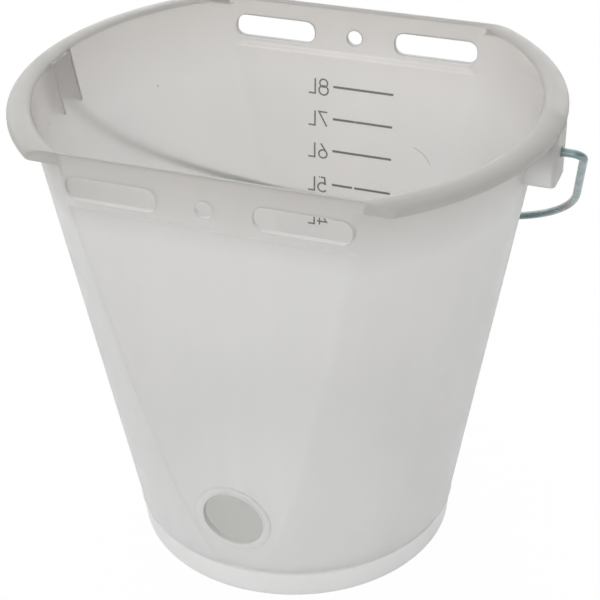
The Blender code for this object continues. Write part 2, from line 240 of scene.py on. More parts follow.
# Sizes and places that follow from the ones above
PIVOT_LEVEL = HEIGHT - PIVOT_BELOW_TOP
SLOT_LEVEL = HEIGHT - SLOTS_BELOW_TOP
BAND_LEVEL = HEIGHT - BAND_HEIGHT
RIM_LEVEL = HEIGHT - RIM_DEPTH
FLOOR_LEVEL = FOOT_HEIGHT + FLOOR_THICKNESS
FOOT_LIP_LEVEL = FOOT_HEIGHT + FOOT_LIP_HEIGHT
FOOT_RADIUS = FOOT_LINE_RADIUS + FOOT_PROUD
BAND_HALF_DEPTH = PANEL_HALF_DEPTH_AT_BAND + BAND_PROUD
RIM_RADIUS = TOP_RADIUS + RIM_OVERHANG
EAR_FACE = RIM_RADIUS + EAR_PROUD
PIVOT_HOLE_DIAMETER = WIRE_DIAMETER + 2 * PIVOT_CLEARANCE
BAIL_HALF_SPREAD = EAR_FACE + BAIL_SIDE_GAP
TAIL_X = EAR_FACE - EAR_WALL - WIRE_DIAMETER
TAIL_LENGTH = EAR_WIDTH / 2 - EAR_WALL - TAIL_CLEARANCE
RIM_CORNER_ROUND = PANEL_CORNER_ROUND / 2
RIM_LOWER_ROUND = RIM_WALL / 3
EAR_POCKET_ROUND = EAR_EDGE_ROUND / 4
PIVOT_EDGE_ROUND = CUT_EDGE_ROUND / 2
OVERCUT = 0.010
NO_PANELS = math.inf

# Kinds of faces, kept as attributes for the plastic's looks
OUTSIDE_FACE = 0
INSIDE_FACE = 1
CUT_FACE = 2
FACE_KINDS = {INSIDE_FACE: "inside", CUT_FACE: "cut_edge"}

# Camera, as fitted to the photograph
CAMERA_AZIMUTH = math.radians(21.505)
CAMERA_ELEVATION = math.radians(32.645)
CAMERA_ROLL = math.radians(-1.394)
CAMERA_DISTANCE = 0.884667
CAMERA_TARGET = Vector((0.0, 0.0, 0.132384))
CAMERA_LENS = 90.434
CAMERA_SHIFT = (0.01207, 0.02552)


def wall_radius(z):
    """Outer radius of the tapered wall at height z."""
    return FOOT_LINE_RADIUS + (TOP_RADIUS - FOOT_LINE_RADIUS) * z / HEIGHT


def panel_half_depth(z):
    """Half the distance across the two flat panels at height z, below the bands."""
    rise = (z - FOOT_HEIGHT) / (BAND_LEVEL - FOOT_HEIGHT)
    return PANEL_HALF_DEPTH_AT_FOOT + (PANEL_HALF_DEPTH_AT_BAND - PANEL_HALF_DEPTH_AT_FOOT) * rise


def eased(share):
    """Share from 0 to 1, slow at both ends."""
    return share * share * (3 - 2 * share)


def inner_half_depth(z):
    """Half depth inside, at height z, where panel and band run into each other in a long soft bend."""
    share = min(1.0, max(0.0, (z - BAND_BLEND_START) / (BAND_BLEND_END - BAND_BLEND_START)))
    return panel_half_depth(z) * (1 - eased(share)) + BAND_HALF_DEPTH * eased(share) - WALL


def on_circle(radius, angle):
    """Point of a circle round the origin."""
    return radius * math.cos(angle), radius * math.sin(angle)


def corner_centre(radius, half_depth, corner):
    """Centre, in the first quadrant, of the rounding between the curved wall and a panel."""
    across = (radius - corner) ** 2 - (half_depth - corner) ** 2
    return math.sqrt(max(across, 0.0)), half_depth - corner


def quadrant(radius, half_depth, corner):
    """Points of one quarter of the outline, from the X axis round to just before the Y axis."""
    cx, cy = corner_centre(radius, half_depth, corner)
    if cx < LEAST_PANEL_SHARE * radius:
        turn = 2 * math.asin(LEAST_PANEL_SHARE)
        first = math.pi / 2 - turn
        steps = CORNER_STEPS + PANEL_STEPS
        rest = [on_circle(radius, first + turn * i / steps) for i in range(steps)]
    else:
        first = math.atan2(cy, cx)
        rest = []
        for i in range(CORNER_STEPS):
            x, y = on_circle(corner, first + (math.pi / 2 - first) * i / CORNER_STEPS)
            rest.append((cx + x, cy + y))
        for i in range(PANEL_STEPS):
            rest.append((cx * (1 - i / PANEL_STEPS), half_depth))
    return [on_circle(radius, first * i / ARC_STEPS) for i in range(ARC_STEPS)] + rest


def outline(radius, half_depth, corner):
    """The whole closed outline, anticlockwise from the +X axis."""
    first = quadrant(radius, half_depth, corner)
    on_y_axis = (0.0, min(radius, half_depth))
    second = [(-x, y) for x, y in reversed(first)]
    upper = first + [on_y_axis] + second
    lower = [(x, -y) for x, y in reversed(upper[1:-1])]
    return upper + lower


def placed(name, data):
    """New object in the scene, for a mesh, a lamp or a camera."""
    obj = bpy.data.objects.new(name, data)
    bpy.context.scene.collection.objects.link(obj)
    return obj


def meshed(name, bm):
    """Object with the finished faces, turned outwards."""
    bmesh.ops.recalc_face_normals(bm, faces=bm.faces)
    mesh = bpy.data.meshes.new(name)
    bm.to_mesh(mesh)
    bm.free()
    return placed(name, mesh)


def join_rows(bm, rows):
    """Faces between neighbouring rows of points, each row a closed loop."""
    count = len(rows[0])
    for low, high in zip(rows, rows[1:]):
        for i in range(count):
            j = (i + 1) % count
            bm.faces.new((low[i], low[j], high[j], high[i]))


def skins(name, shells):
    """Object with one closed solid for each shell: rings of points, joined in turn, with filled ends."""
    bm = bmesh.new()
    for rings in shells:
        rows = [[bm.verts.new(point) for point in ring] for ring in rings]
        join_rows(bm, rows)
        bm.faces.new(rows[0])
        bm.faces.new(rows[-1])
    return meshed(name, bm)


def loft(name, levels):
    """Solid through outlines stacked from low to high. Each level is (z, radius, half depth, corner)."""
    rings = []
    for z, radius, half_depth, corner in levels:
        rings.append([(x, y, z) for x, y in outline(radius, half_depth, corner)])
    return skins(name, [rings])


def round_steps(low, high, radius):
    """(place, offset) pairs from low to high that round the two edges of a cut through a wall."""
    pairs = []
    for i in range(SMALL_ROUND_STEPS + 1):
        angle = math.pi / 2 * i / SMALL_ROUND_STEPS
        pairs.append((radius * (1 - math.cos(angle)), radius * (1 - math.sin(angle))))
    first = [(low - OVERCUT, radius)] + [(low + depth, offset) for depth, offset in pairs]
    last = [(high - depth, offset) for depth, offset in reversed(pairs)] + [(high + OVERCUT, radius)]
    return first + last


def rounded_rectangle(across, up, width, height, corner):
    """Corner-rounded rectangle centred on (across, up)."""
    points = []
    for quarter, (sx, sy) in enumerate(((1, 1), (-1, 1), (-1, -1), (1, -1))):
        cx = across + sx * (width / 2 - corner)
        cy = up + sy * (height / 2 - corner)
        for i in range(SMALL_ROUND_STEPS + 1):
            x, y = on_circle(corner, math.pi / 2 * (quarter + i / SMALL_ROUND_STEPS))
            points.append((cx + x, cy + y))
    return points


def circle(across, up, diameter, steps):
    """Round outline centred on (across, up), with no point straight above or below the centre."""
    points = []
    for i in range(steps):
        x, y = on_circle(diameter / 2, 2 * math.pi * (i + 0.5) / steps)
        points.append((across + x, up + y))
    return points


def combine(target, helper, operation):
    """Adds the helper shape to the target or takes it away."""
    modifier = target.modifiers.new(operation.title(), "BOOLEAN")
    modifier.operation = operation
    modifier.solver = "EXACT"
    modifier.object = helper


def settle(obj):
    """Replaces the object's mesh by its finished shape, and removes the helpers that shaped it."""
    helpers = set()
    waiting = [obj]
    while waiting:
        for modifier in waiting.pop().modifiers:
            helpers.add(modifier.object)
            waiting.append(modifier.object)
    bpy.context.view_layer.update()
    graph = bpy.context.evaluated_depsgraph_get()
    finished = bpy.data.meshes.new_from_object(obj.evaluated_get(graph))
    obj.modifiers.clear()
    obj.data = finished
    for helper in helpers:
        bpy.data.objects.remove(helper, do_unlink=True)


def drop_slivers(obj):
    """Joins double points, splits the faces into triangles, and removes back-to-back pairs without area."""
    bm = bmesh.new()
    bm.from_mesh(obj.data)
    bmesh.ops.remove_doubles(bm, verts=bm.verts, dist=SAME_POINT)
    bmesh.ops.triangulate(bm, faces=bm.faces)
    by_corners = {}
    for face in bm.faces:
        by_corners.setdefault(frozenset(face.verts), []).append(face)
    pairs = [face for faces in by_corners.values() if len(faces) > 1 for face in faces]
    bmesh.ops.delete(bm, geom=pairs, context="FACES")
    bm.to_mesh(obj.data)
    bm.free()


def shade(obj, angle):
    """Smooth shading, crisp at edges sharper than the angle and flat on the large faces."""
    for polygon in obj.data.polygons:
        polygon.use_smooth = True
    obj.data.set_sharp_from_angle(angle=angle)
    weighted = obj.modifiers.new("Weighted_normals", "WEIGHTED_NORMAL")
    weighted.keep_sharp = True


def wall_levels():
    """Heights of the wall's outlines between the foot and the band, closer together near the foot."""
    tall = BAND_LEVEL - FOOT_LIP_LEVEL
    shares = [(i / WALL_STEPS) ** WALL_STEPS_CROWDING for i in range(1, WALL_STEPS + 1)]
    return [FOOT_LIP_LEVEL + tall * share for share in shares]


def outer_core():
    """The bucket's outside, as a filled solid: foot ring, lip, tapered wall, panels and bands."""
    corner = PANEL_CORNER_ROUND
    levels = []
    for i in range(SMALL_ROUND_STEPS + 1):
        angle = math.pi / 2 * i / SMALL_ROUND_STEPS
        inset = FOOT_EDGE_ROUND * (1 - math.sin(angle))
        levels.append((FOOT_EDGE_ROUND * (1 - math.cos(angle)), FOOT_RADIUS - inset, NO_PANELS, corner))
    for i in range(LIP_STEPS):
        z = FOOT_HEIGHT + FOOT_LIP_HEIGHT * i / LIP_STEPS
        bead = FOOT_LIP * math.sin(math.pi * i / LIP_STEPS) ** 2
        levels.append((z, wall_radius(FOOT_HEIGHT) + bead, NO_PANELS, corner))
    for z in [FOOT_LIP_LEVEL] + wall_levels():
        levels.append((z, wall_radius(z), panel_half_depth(z), corner))
    for i in range(1, BLEND_STEPS + 1):
        z = BAND_LEVEL + BAND_STEP_HEIGHT * i / BLEND_STEPS
        half_depth = PANEL_HALF_DEPTH_AT_BAND + BAND_PROUD * eased(i / BLEND_STEPS)
        levels.append((z, wall_radius(z), half_depth, corner))
    z = (BAND_LEVEL + HEIGHT) / 2
    levels.append((z, wall_radius(z), BAND_HALF_DEPTH, corner))
    for i in range(SMALL_ROUND_STEPS + 1):
        angle = math.pi / 2 * i / SMALL_ROUND_STEPS
        z = HEIGHT - CUT_EDGE_ROUND * (1 - math.sin(angle))
        inset = CUT_EDGE_ROUND * (1 - math.cos(angle))
        levels.append((z, wall_radius(z), BAND_HALF_DEPTH - inset, corner))
    return loft("bucket_shell", levels)


def give_index(obj, index):
    """Empty material slots for each kind of face, with all the faces of the object in one of them."""
    for kind in (OUTSIDE_FACE, *FACE_KINDS):
        obj.data.materials.append(None)
    for polygon in obj.data.polygons:
        polygon.material_index = index


def mark_faces(obj):
    """Turns the material indices into face attributes: 1 on the faces of that kind, 0 elsewhere."""
    for index, name in FACE_KINDS.items():
        marked = obj.data.attributes.new(name, "FLOAT", "FACE")
        for polygon in obj.data.polygons:
            marked.data[polygon.index].value = polygon.material_index == index
    for polygon in obj.data.polygons:
        polygon.material_index = 0
    obj.data.materials.clear()


def interior():
    """The space that holds the milk, open at the top. Its rounded mouth edge counts as outside."""
    corner = INNER_CORNER_ROUND
    levels = []
    for i in range(SMALL_ROUND_STEPS):
        angle = math.pi / 2 * i / (SMALL_ROUND_STEPS - 1)
        z = FLOOR_LEVEL + FLOOR_EDGE_ROUND * (1 - math.cos(angle))
        inset = WALL + FLOOR_EDGE_ROUND * (1 - math.sin(angle))
        levels.append((z, wall_radius(z) - inset, panel_half_depth(z) - inset, corner))
    lower = [z for z in wall_levels() if LOWEST_INNER_STEP < z < BAND_BLEND_START]
    tall = BAND_BLEND_END - BAND_BLEND_START
    blend = [BAND_BLEND_START + tall * i / BLEND_STEPS for i in range(BLEND_STEPS + 1)]
    for z in lower + blend:
        levels.append((z, wall_radius(z) - WALL, inner_half_depth(z), corner))
    for i in range(SMALL_ROUND_STEPS + 1):
        angle = math.pi / 2 * i / SMALL_ROUND_STEPS
        z = HEIGHT - MOUTH_EDGE_HEIGHT * (1 - math.sin(angle))
        flare = 1 - math.cos(angle)
        radius = wall_radius(z) - WALL + RIM_INNER_ROUND * flare
        levels.append((z, radius, BAND_HALF_DEPTH - WALL + MOUTH_EDGE_ROUND * flare, corner))
    z, radius, half_depth, corner = levels[-1]
    levels.append((z + OVERCUT, radius, half_depth, corner))
    shape = loft("interior", levels)
    give_index(shape, INSIDE_FACE)
    for polygon in shape.data.polygons:
        if polygon.center.z > HEIGHT - MOUTH_EDGE_HEIGHT:
            polygon.material_index = OUTSIDE_FACE
    return shape


def foot_hollow():
    """The space inside the foot ring, open underneath."""
    radius = FOOT_RADIUS - WALL
    levels = [(-OVERCUT, radius, NO_PANELS, 0.0), (FOOT_HEIGHT - FOOT_EDGE_ROUND, radius, NO_PANELS, 0.0)]
    for i in range(1, SMALL_ROUND_STEPS + 1):
        angle = math.pi / 2 * i / SMALL_ROUND_STEPS
        z = FOOT_HEIGHT - FOOT_EDGE_ROUND * (1 - math.sin(angle))
        levels.append((z, radius - FOOT_EDGE_ROUND * (1 - math.cos(angle)), NO_PANELS, 0.0))
    return loft("foot_hollow", levels)


def gate_mark():
    """The small round trace of the moulding gate, under the middle of the floor."""
    rings = []
    top = FOOT_HEIGHT + FLOOR_THICKNESS / 2
    low = FOOT_HEIGHT - GATE_MARK_HEIGHT
    middle = FOOT_HEIGHT - GATE_MARK_HEIGHT / 2
    for z, inset in ((low, GATE_MARK_EDGE), (middle, 0.0), (top, 0.0)):
        points = circle(0.0, 0.0, GATE_MARK_DIAMETER - 2 * inset, SMALL_HOLE_STEPS)
        rings.append([(x, y, z) for x, y in points])
    return skins("gate_mark", [rings])


def rim():
    """Turned-down rim, cut off flush with the bands, hollow underneath and closed at its four ends."""
    corner = RIM_CORNER_ROUND
    levels = []
    for i in range(SMALL_ROUND_STEPS + 1):
        angle = math.pi / 2 * i / SMALL_ROUND_STEPS
        z = RIM_LEVEL + RIM_LOWER_ROUND * (1 - math.cos(angle))
        inset = RIM_LOWER_ROUND * (1 - math.sin(angle))
        levels.append((z, RIM_RADIUS - inset, BAND_HALF_DEPTH, corner))
    crown_steps = 2 * SMALL_ROUND_STEPS
    for i in range(crown_steps + 1):
        angle = math.pi / 2 * i / crown_steps
        z = HEIGHT - RIM_CROWN_HEIGHT * (1 - math.sin(angle))
        radius = RIM_RADIUS - RIM_CROWN_WIDTH * (1 - math.cos(angle))
        levels.append((z, radius, BAND_HALF_DEPTH, corner))
    shape = loft("rim", levels)
    channel = []
    for z in (RIM_LEVEL - OVERCUT, HEIGHT - RIM_CROWN_HEIGHT):
        channel.append((z, RIM_RADIUS - RIM_WALL, BAND_HALF_DEPTH - WALL, corner))
    channel.append((HEIGHT - RIM_WALL, RIM_RADIUS - RIM_CROWN_WIDTH, BAND_HALF_DEPTH - WALL, corner))
    combine(shape, loft("rim_channel", channel), "DIFFERENCE")
    return shape


def ear_outline(root, inset):
    """The +X ear seen from above, from its root in the wall out to its rounded face."""
    half = EAR_WIDTH / 2 - inset
    corner = EAR_EDGE_ROUND - inset
    points = [(root, -half)]
    for start, side in ((-math.pi / 2, -1), (0.0, 1)):
        for i in range(SMALL_ROUND_STEPS + 1):
            x, y = on_circle(corner, start + math.pi / 2 * i / SMALL_ROUND_STEPS)
            points.append((EAR_FACE - EAR_EDGE_ROUND + x, side * (half - corner) + y))
    return points + [(root, half)]


def ear_shoulder(root):
    """The +X ear seen from the front: its outer top follows just below the rim's crown."""
    low = HEIGHT - EAR_HEIGHT - OVERCUT
    under_crown = HEIGHT - RIM_WALL / 3
    points = [(root - WALL, low), (EAR_FACE + OVERCUT, low)]
    points.append((EAR_FACE + OVERCUT, HEIGHT - RIM_CROWN_HEIGHT - EAR_PROUD))
    for i in range(SMALL_ROUND_STEPS + 1):
        angle = math.pi / 2 * i / SMALL_ROUND_STEPS
        x = RIM_RADIUS - RIM_CROWN_WIDTH * (1 - math.cos(angle))
        z = HEIGHT - RIM_CROWN_HEIGHT * (1 - math.sin(angle)) - EAR_PROUD
        points.append((x, min(z, under_crown)))
    return points + [(root - WALL, under_crown)]


def ear(side):
    """Box-shaped ear under the rim, open underneath, with the bail's pivot hole in its outer wall."""
    bottom = HEIGHT - EAR_HEIGHT
    root = wall_radius(bottom) - WALL / 2
    rings = []
    for i in range(SMALL_ROUND_STEPS + 1):
        angle = math.pi / 2 * i / SMALL_ROUND_STEPS
        z = bottom + EAR_LOWER_ROUND * (1 - math.cos(angle))
        points = ear_outline(root, EAR_LOWER_ROUND * (1 - math.sin(angle)))
        rings.append([(side * x, y, z) for x, y in points])
    rings.append([(x, y, HEIGHT - RIM_WALL / 2) for x, y, z in rings[-1]])
    shape = skins("ear", [rings])
    rings = [[(side * x, y, z) for x, z in ear_shoulder(root)] for y in (-EAR_WIDTH, EAR_WIDTH)]
    combine(shape, skins("ear_shoulder", [rings]), "INTERSECT")
    middle = (root - WALL + EAR_FACE - EAR_WALL) / 2
    width = EAR_FACE - EAR_WALL - (root - WALL)
    points = rounded_rectangle(middle, 0.0, width, EAR_WIDTH - 2 * EAR_WALL, EAR_POCKET_ROUND)
    rings = [[(side * x, y, z) for x, y in points] for z in (bottom - OVERCUT, HEIGHT - RIM_CROWN_HEIGHT)]
    combine(shape, skins("ear_pocket", [rings]), "DIFFERENCE")
    rings = []
    for x, offset in round_steps(EAR_FACE - EAR_WALL, EAR_FACE, PIVOT_EDGE_ROUND)[1:]:
        points = circle(0.0, PIVOT_LEVEL, PIVOT_HOLE_DIAMETER + 2 * offset, SMALL_HOLE_STEPS)
        rings.append([(side * x, y, z) for y, z in points])
    combine(shape, skins("pivot_hole", [rings]), "DIFFERENCE")
    return shape


def leaning_ring(proud, diameter):
    """Ring round the teat hole's axis that keeps the same distance from the leaning front panel."""
    points = circle(0.0, TEAT_HOLE_LEVEL, diameter, TEAT_HOLE_STEPS)
    return [(x, -panel_half_depth(z) - proud, z) for x, z in points]


def teat_boss():
    """Raised ring round the teat hole, with a rounded edge."""
    diameter = TEAT_HOLE_DIAMETER + 2 * BOSS_WIDTH
    rings = [leaning_ring(-WALL / 2, diameter)]
    for i in range(SMALL_ROUND_STEPS + 1):
        angle = math.pi / 2 * i / SMALL_ROUND_STEPS
        inset = BOSS_EDGE_WIDTH * (1 - math.cos(angle))
        rings.append(leaning_ring(BOSS_PROUD * math.sin(angle), diameter - 2 * inset))
    return skins("teat_boss", [rings])


def cuts():
    """The slots and holes through the bands, and the teat hole, all with rounded edges."""
    shells = []
    for side in (-1, 1):
        steps = round_steps(BAND_HALF_DEPTH - WALL, BAND_HALF_DEPTH, CUT_EDGE_ROUND)
        for across in (-SLOT_SPACING / 2, SLOT_SPACING / 2):
            rings = []
            for y, offset in steps:
                width, height = SLOT_LENGTH + 2 * offset, SLOT_HEIGHT + 2 * offset
                corner = SLOT_CORNER_ROUND + offset
                points = rounded_rectangle(across, SLOT_LEVEL, width, height, corner)
                rings.append([(x, side * y, z) for x, z in points])
            shells.append(rings)
        rings = []
        for y, offset in steps:
            points = circle(0.0, SLOT_LEVEL, BAND_HOLE_DIAMETER + 2 * offset, SMALL_HOLE_STEPS)
            rings.append([(x, side * y, z) for x, z in points])
        shells.append(rings)
    rings = []
    for proud, offset in round_steps(-WALL, BOSS_PROUD, CUT_EDGE_ROUND):
        rings.append(leaning_ring(proud, TEAT_HOLE_DIAMETER + 2 * offset))
    shape = skins("cuts", shells + [rings])
    give_index(shape, CUT_FACE)
    return shape


def moulded_bucket():
    """The moulded bucket in one piece."""
    body = outer_core()
    give_index(body, OUTSIDE_FACE)
    for addition in (rim(), ear(-1), ear(1), teat_boss()):
        combine(body, addition, "UNION")
    for cut in (interior(), foot_hollow(), cuts()):
        combine(body, cut, "DIFFERENCE")
    combine(body, gate_mark(), "UNION")
    settle(body)
    drop_slivers(body)
    mark_faces(body)
    body.name = "moulded_bucket"
    shade(body, BUCKET_SHARP_ANGLE)
    return body


def bend(before, corner, after, radius):
    """Points of the round bend that replaces a corner between two straight runs."""
    back = (before - corner).normalized()
    forth = (after - corner).normalized()
    half = back.angle(forth) / 2
    centre = corner + (back + forth).normalized() * radius / math.sin(half)
    start = corner + back * radius / math.tan(half) - centre
    end = corner + forth * radius / math.tan(half) - centre
    points = []
    for i in range(BAIL_BEND_STEPS + 1):
        points.append(centre + radius * start.slerp(end, i / BAIL_BEND_STEPS))
    return points


def arm_length():
    """How far the straight arm runs before the corner that leads into the long arc."""
    gap = BAIL_ARC_RADIUS - BAIL_CORNER_RADIUS
    arc_centre = BAIL_REACH - BAIL_ARC_RADIUS
    sin, cos = math.sin(BAIL_ARM_LEAN), math.cos(BAIL_ARM_LEAN)
    x = BAIL_HALF_SPREAD - BAIL_CORNER_RADIUS * cos
    y = -BAIL_CORNER_RADIUS * sin - arc_centre
    b = -x * sin + y * cos
    return -b + math.sqrt(b * b - (x * x + y * y - gap * gap))


def bail_path():
    """Centre line of the wire in its own plane: x along the pivot axis, y away from it."""
    sin, cos = math.sin(BAIL_ARM_LEAN), math.cos(BAIL_ARM_LEAN)
    length = arm_length()
    arm_end = Vector((BAIL_HALF_SPREAD - length * sin, length * cos))
    corner = arm_end - BAIL_CORNER_RADIUS * Vector((cos, sin))
    arc_centre = Vector((0.0, BAIL_REACH - BAIL_ARC_RADIUS))
    meeting = math.atan2(corner.y - arc_centre.y, corner.x)
    tail_end = Vector((TAIL_X, -TAIL_LENGTH))
    tail_top = Vector((TAIL_X, 0.0))
    elbow = Vector((BAIL_HALF_SPREAD, 0.0))
    points = [tail_end]
    points += bend(tail_end, tail_top, elbow, TAIL_BEND_RADIUS)
    points += bend(tail_top, elbow, arm_end, BAIL_ELBOW_RADIUS)
    for i in range(BAIL_BEND_STEPS + 1):
        angle = BAIL_ARM_LEAN + (meeting - BAIL_ARM_LEAN) * i / BAIL_BEND_STEPS
        points.append(corner + Vector(on_circle(BAIL_CORNER_RADIUS, angle)))
    for i in range(1, BAIL_ARC_STEPS + 1):
        angle = meeting + (math.pi / 2 - meeting) * i / BAIL_ARC_STEPS
        points.append(arc_centre + Vector(on_circle(BAIL_ARC_RADIUS, angle)))
    return points + [Vector((-p.x, p.y)) for p in reversed(points[:-1])]


def wire_ring(centre, along, radius):
    """Round cross-section of the wire, square to its run."""
    ring = []
    for side in range(WIRE_SIDES):
        across, up = on_circle(radius, 2 * math.pi * side / WIRE_SIDES)
        ring.append((centre.x - along.y * across, centre.y + along.x * across, up))
    return ring


def bail_wire():
    """The wire, swept along its path, with chamfered ends, hanging at the back of the bucket."""
    path = bail_path()
    last = len(path) - 1
    radius = WIRE_DIAMETER / 2 - WIRE_SKIN_INSET
    rings = []
    for i, point in enumerate(path):
        along = (path[min(i + 1, last)] - path[max(i - 1, 0)]).normalized()
        if i == 0:
            rings.append(wire_ring(point - along * WIRE_END_CHAMFER, along, radius - WIRE_END_CHAMFER))
        rings.append(wire_ring(point, along, radius))
        if i == last:
            rings.append(wire_ring(point + along * WIRE_END_CHAMFER, along, radius - WIRE_END_CHAMFER))
    bail = skins("bail_wire", [rings])
    place = Matrix.Translation((0.0, 0.0, PIVOT_LEVEL)) @ Matrix.Rotation(-BAIL_REST_ANGLE, 4, "X")
    bail.data.transform(place)
    shade(bail, WIRE_SHARP_ANGLE)
    return bail


def arc(across, up, radius, start, end):
    """Points of an arc between two angles in degrees, seen from inside the bucket."""
    points = []
    for i in range(FIGURE_ARC_STEPS + 1):
        x, z = on_circle(radius, math.radians(start + (end - start) * i / FIGURE_ARC_STEPS))
        points.append((across + x, up + z))
    return points


def figure_strokes(litres):
    """Strokes of the figure, round its foot's middle, seen from inside, so mirrored left to right."""
    tall = LETTER_HEIGHT
    if litres == 8:
        return [arc(0.0, 0.0071, 0.0025, 0, 360), arc(0.0, 0.0024, 0.00295, 0, 360)]
    if litres == 7:
        return [[(0.0026, tall - 0.0003), (-0.0029, tall - 0.0003), (0.0023, 0.0)]]
    if litres == 6:
        return [arc(0.0, 0.0026, 0.0027, 0, 360), [(-0.0014, tall), (0.0023, 0.0040)]]
    if litres == 5:
        bowl = arc(-0.0001, 0.0028, 0.0030, 50, 325)
        stem = [(-0.0012, tall), (0.0014, tall - 0.0001), (0.0018, 0.0051)]
        return [stem + bowl, [(-0.0024, tall), (-0.0018, tall)]]
    if litres == 4:
        return [[(-0.0018, 0.0), (-0.0018, tall), (0.0030, 0.0024), (-0.0034, 0.0024)]]
    if litres == 3:
        upper = arc(0.0, 0.0071, 0.0024, 35, 260)
        return [upper, arc(0.0, 0.0024, 0.0028, 100, 325)]
    if litres == 2:
        return [arc(0.0, 0.0069, 0.0026, 20, 215) + [(0.0028, 0.0), (-0.0028, 0.0)]]
    return [[(0.0016, tall - 0.0018), (-0.0004, tall), (-0.0004, 0.0)]]


def scale_strokes():
    """Every stroke of the scale as (points, width), in X and height, seen from inside."""
    strokes = []
    for litres, level in LITRE_LEVELS.items():
        start, end = MARK_START, MARK_END
        if litres in MARK_GAPS:
            gap_start, gap_end = MARK_GAPS[litres]
            strokes.append(([(start, level), (gap_start, level)], MARK_WIDTH))
            start = gap_end
        strokes.append(([(start, level), (end, level)], MARK_WIDTH))
        foot = level - FIGURES_BELOW_MARK
        letter = [(LETTER_STEM, foot + LETTER_HEIGHT), (LETTER_STEM, foot), (LETTER_FOOT, foot)]
        strokes.append((letter, FIGURE_STROKE))
        for points in figure_strokes(litres):
            strokes.append(([(FIGURE_CENTRE + x, foot + z) for x, z in points], FIGURE_STROKE))
    return strokes


def stroke_edges(path, width, closed):
    """Left and right edge points of a stroke along its path."""
    count = len(path)
    edges = []
    for i, point in enumerate(path):
        before = path[i - 1] if i or closed else point
        after = path[(i + 1) % count] if i + 1 < count or closed else point
        into = (point - before).normalized() if point != before else (after - point).normalized()
        out = (after - point).normalized() if after != point else into
        along = (into + out).normalized()
        widening = 1 / max(along.dot(into), LEAST_MITRE)
        square = Vector((-along.y, along.x)) * width / 2 * widening
        edges.append((point + square, point - square))
    return edges


def film_row(bm, left, right):
    """Cross-section of the ink film between two edge points, partly sunk into the panel's outer face."""
    row = []
    for spot, lift in ((left, 0.0), (right, 0.0), (right, PRINT_THICKNESS), (left, PRINT_THICKNESS)):
        y = panel_half_depth(spot.y) - PRINT_SOAKS_IN + lift
        row.append(bm.verts.new((spot.x, y, spot.y)))
    return row


def lay_stroke(bm, points, width):
    """One stroke as a thin film of ink, closed on itself where its ends meet."""
    path = [Vector(point) for point in points]
    closed = (path[0] - path[-1]).length < width / 10
    if closed:
        path.pop()
    rows = [film_row(bm, left, right) for left, right in stroke_edges(path, width, closed)]
    if closed:
        rows.append(rows[0])
    else:
        bm.faces.new(rows[0])
        bm.faces.new(rows[-1])
    join_rows(bm, rows)


def printed_scale():
    """The litre scale as thin films of ink on the outer face of the back panel."""
    bm = bmesh.new()
    for points, width in scale_strokes():
        lay_stroke(bm, points, width)
    return meshed("litre_scale", bm)


def new_material(name):
    """Material with an empty node tree apart from its shader and output."""
    made = bpy.data.materials.new(name)
    made.use_nodes = True
    return made, made.node_tree, made.node_tree.nodes["Principled BSDF"]


def node(tree, kind, values=None, **settings):
    """New node with its settings and the values of its sockets."""
    made = tree.nodes.new(kind)
    for name, value in settings.items():
        setattr(made, name, value)
    for name, value in (values or {}).items():
        made.inputs[name].default_value = value
    return made


def noise(tree, scale, detail=3.0, stretch=None, turn=(0.0, 0.0, 0.0)):
    """Noise over the object's own coordinates, in features per metre."""
    place = node(tree, "ShaderNodeTexCoord").outputs["Object"]
    if stretch:
        mapping = node(tree, "ShaderNodeMapping", {"Rotation": turn, "Scale": stretch})
        tree.links.new(place, mapping.inputs["Vector"])
        place = mapping.outputs["Vector"]
    texture = node(tree, "ShaderNodeTexNoise", {"Scale": scale, "Detail": detail})
    tree.links.new(place, texture.inputs["Vector"])
    return texture.outputs["Fac"]


def to_range(tree, source, low, high, start=0.3, end=0.7):
    """Source stretched from start..end to low..high."""
    values = {"From Min": start, "From Max": end, "To Min": low, "To Max": high}
    mapped = node(tree, "ShaderNodeMapRange", values)
    tree.links.new(source, mapped.inputs["Value"])
    return mapped.outputs["Result"]


def blend_colours(tree, factor, first, second):
    """Two colours mixed by a factor. Each is a colour or another node's output."""
    mix = node(tree, "ShaderNodeMix", data_type="RGBA")
    tree.links.new(factor, mix.inputs["Factor"])
    for socket, colour in ((mix.inputs[6], first), (mix.inputs[7], second)):
        if isinstance(colour, tuple):
            socket.default_value = (*colour, 1.0)
        else:
            tree.links.new(colour, socket)
    return mix.outputs[2]


def calculate(tree, operation, first, second=None, number=None):
    """Result of a maths operation on an output and, where given, a second output or a number."""
    made = node(tree, "ShaderNodeMath", operation=operation)
    tree.links.new(first, made.inputs[0])
    if second is not None:
        tree.links.new(second, made.inputs[1])
    if number is not None:
        made.inputs[1].default_value = number
    return made.outputs["Value"]


def product(tree, first, *others):
    """Several masks multiplied."""
    for other in others:
        first = calculate(tree, "MULTIPLY", first, other)
    return first


def bump(tree, height, strength, depth, under=None):
    """Bump from a height, on top of another bump."""
    made = node(tree, "ShaderNodeBump", {"Strength": strength, "Distance": depth})
    tree.links.new(height, made.inputs["Height"])
    if under is not None:
        tree.links.new(under, made.inputs["Normal"])
    return made.outputs["Normal"]


def scratches(tree):
    """Fine straight scratches in one direction, as a mask."""
    streaks = noise(tree, 1.0, 2.0, stretch=(14.0, 900.0, 900.0), turn=(0.4, 0.9, 0.3))
    return to_range(tree, streaks, 0.0, 1.0, start=0.66, end=0.70)


